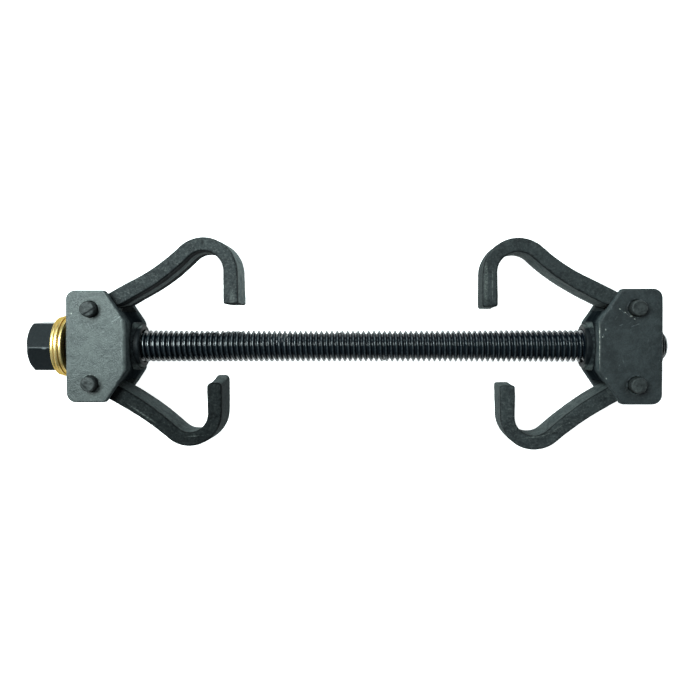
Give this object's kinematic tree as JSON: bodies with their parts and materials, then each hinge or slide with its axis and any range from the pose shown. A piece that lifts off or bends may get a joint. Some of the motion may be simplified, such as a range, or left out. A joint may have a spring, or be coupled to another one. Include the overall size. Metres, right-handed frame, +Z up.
{
  "type": "coil spring compressor",
  "caption": "Hand screw compressor for coil springs: a threaded spindle draws two yokes of forged claw hooks together.",
  "frame": {"origin": "middle of the footprint, on the surface that the tool lies on", "axes": "+X along the spindle from its hex head to its far end, +Y towards the long hooks, +Z up, square to the yoke plates"},
  "size_m": [0.3592, 0.1188, 0.05],
  "materials": {
    "spindle_black": "gloss black oxide, oiled",
    "zinc_yellow": "yellow zinc plate, bright",
    "yoke_grey": "satin black phosphate, mottled",
    "yoke_black": "satin black phosphate, scratched",
    "sleeve_black": "satin black phosphate",
    "forged_black": "black phosphate over forging scale",
    "pin_dark": "dull black phosphate, peened"
  },
  "bodies": {
    "head": {"head_yoke": "yoke_grey", "head_bush": "sleeve_black", "thrust_washer_inner": "zinc_yellow", "head_long_pin": "pin_dark", "head_long_spacer_front": "pin_dark", "head_long_spacer_back": "pin_dark", "head_short_pin": "pin_dark", "head_short_spacer_front": "pin_dark", "head_short_spacer_back": "pin_dark"},
    "screw": {"spindle": "spindle_black", "thrust_washer_outer": "zinc_yellow"},
    "free_washer": {"thrust_washer_middle": "zinc_yellow"},
    "head_long": {"head_long_hook": "forged_black"},
    "head_short": {"head_short_hook": "forged_black"},
    "far": {"far_yoke": "yoke_black", "drive_nut": "sleeve_black", "far_long_pin": "pin_dark", "far_long_spacer_front": "pin_dark", "far_long_spacer_back": "pin_dark", "far_short_pin": "pin_dark", "far_short_spacer_front": "pin_dark", "far_short_spacer_back": "pin_dark"},
    "far_long": {"far_long_hook": "forged_black"},
    "far_short": {"far_short_hook": "forged_black"}
  },
  "joints": [
    {"name": "spindle_spin", "type": "hinge", "parent": "head", "child": "screw", "pos_m": [-0.1796, -0.0018, 0.025], "axis": [1, 0, 0], "range_deg": [0, 14405]},
    {"name": "far_yoke_travel", "type": "slide", "parent": "head", "child": "far", "axis": [1, 0, 0], "range_m": [-0.12, 0]},
    {"name": "free_washer_spin", "type": "hinge", "parent": "screw", "child": "free_washer", "pos_m": [-0.1617, -0.0018, 0.025], "axis": [1, 0, 0], "continuous": true},
    {"name": "head_long_hook_pivot", "type": "hinge", "parent": "head", "child": "head_long", "pos_m": [-0.1404, 0.0189, 0.025], "axis": [0, 0, 1], "range_deg": [-8, 12]},
    {"name": "head_short_hook_pivot", "type": "hinge", "parent": "head", "child": "head_short", "pos_m": [-0.1404, -0.0225, 0.025], "axis": [0, 0, -1], "range_deg": [-8, 12]},
    {"name": "far_long_hook_pivot", "type": "hinge", "parent": "far", "child": "far_long", "pos_m": [0.1586, 0.0189, 0.025], "axis": [0, 0, -1], "range_deg": [-8, 12]},
    {"name": "far_short_hook_pivot", "type": "hinge", "parent": "far", "child": "far_short", "pos_m": [0.1586, -0.0225, 0.025], "axis": [0, 0, 1], "range_deg": [-8, 12]}
  ],
  "couplings": [
    {"joint": "spindle_spin", "follows": "far_yoke_travel", "rad_per_m": -2094.4}
  ]
}
